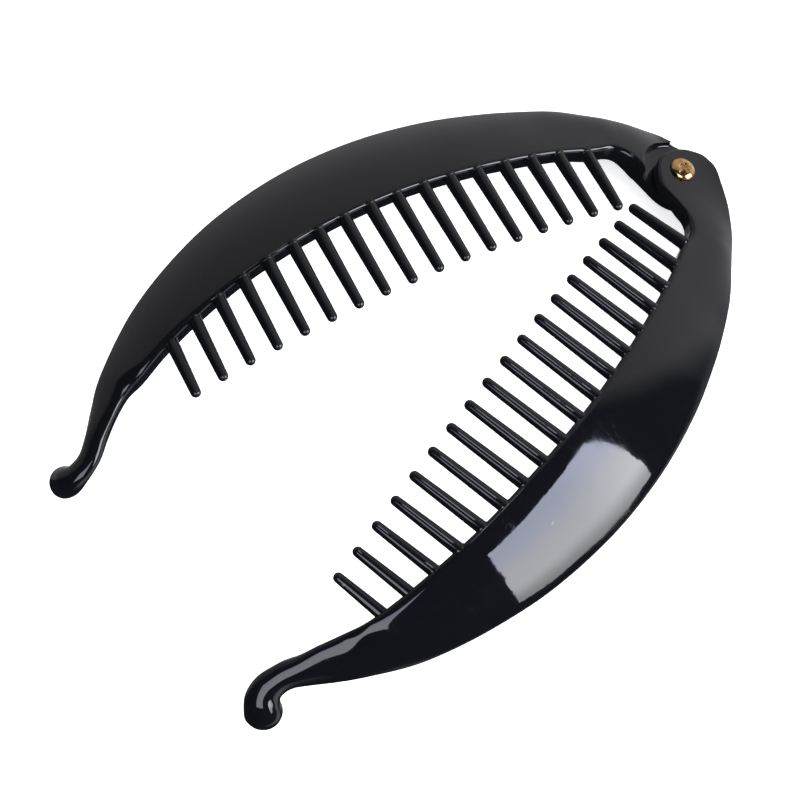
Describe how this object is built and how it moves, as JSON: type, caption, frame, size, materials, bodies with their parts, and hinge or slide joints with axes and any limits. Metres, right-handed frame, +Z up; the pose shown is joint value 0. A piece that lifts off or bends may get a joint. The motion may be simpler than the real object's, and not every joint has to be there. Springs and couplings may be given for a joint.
{
  "type": "banana hair clip",
  "caption": "Long curved hair clip: two arched comb arms joined by a rivet at one end, with hooked ball tips at the other that catch on each other to hold a ponytail.",
  "frame": {"origin": "middle of the clip's footprint, on the surface that it lies on", "axes": "+X from the hooked tips towards the hinge, +Y towards the tongued arm, +Z up from the surface"},
  "size_m": [0.148, 0.1002, 0.0281],
  "materials": {
    "black_plastic": "polished black moulding",
    "rivet_brass": "polished, dimpled where it was set"
  },
  "bodies": {
    "eared_side": {"eared_arm": "black_plastic", "hinge_rivet": "rivet_brass"},
    "tongued_side": {"tongued_arm": "black_plastic"}
  },
  "joints": [
    {"name": "arm_hinge", "type": "hinge", "parent": "eared_side", "child": "tongued_side", "pos_m": [0.06713, 0, 0.00755], "axis": [0.3939, 0, 0.9191], "range_deg": [-65, 22]}
  ]
}
